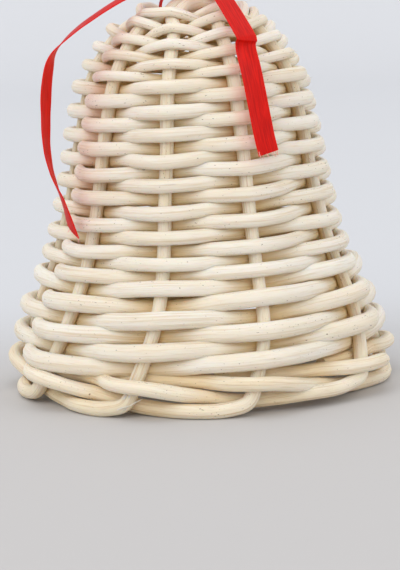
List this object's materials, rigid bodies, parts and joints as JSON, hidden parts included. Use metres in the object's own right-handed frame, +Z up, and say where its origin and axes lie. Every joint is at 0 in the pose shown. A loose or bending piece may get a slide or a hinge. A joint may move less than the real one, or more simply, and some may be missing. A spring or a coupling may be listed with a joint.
{
  "type": "rattan bell ornament",
  "caption": "Hanging bell woven of round rattan core, with a flared plaited border and a narrow red satin ribbon tied in a bow on its crown.",
  "frame": {"origin": "on the floor under the middle of the bell's mouth, where it stands on its border", "axes": "+Z up through the crown; -Y towards the viewer of the picture; +X to the viewer's right"},
  "size_m": [0.0916, 0.0908, 0.1033],
  "materials": {
    "stake_rattan": "natural peeled rattan core, matt with a slight sheen",
    "weaver_rattan": "natural peeled rattan core, matt with a slight sheen",
    "ribbon_satin": "narrow red satin ribbon, glossy along its threads, with cut ends"
  },
  "bodies": {
    "root": {"stake_rod_ninth": "stake_rattan", "stake_rod_upper_left": "stake_rattan", "stake_rod_upper_right": "stake_rattan", "stake_rod_lower_front": "stake_rattan", "stake_rod_lower_back": "stake_rattan", "weaver_crown_1": "weaver_rattan", "weaver_crown_2": "weaver_rattan", "weaver_wall_1": "weaver_rattan", "weaver_wall_2": "weaver_rattan", "weaver_wall_3": "weaver_rattan", "weaver_wall_4": "weaver_rattan", "weaver_foot": "weaver_rattan", "ribbon_bow": "ribbon_satin"}
  },
  "joints": []
}
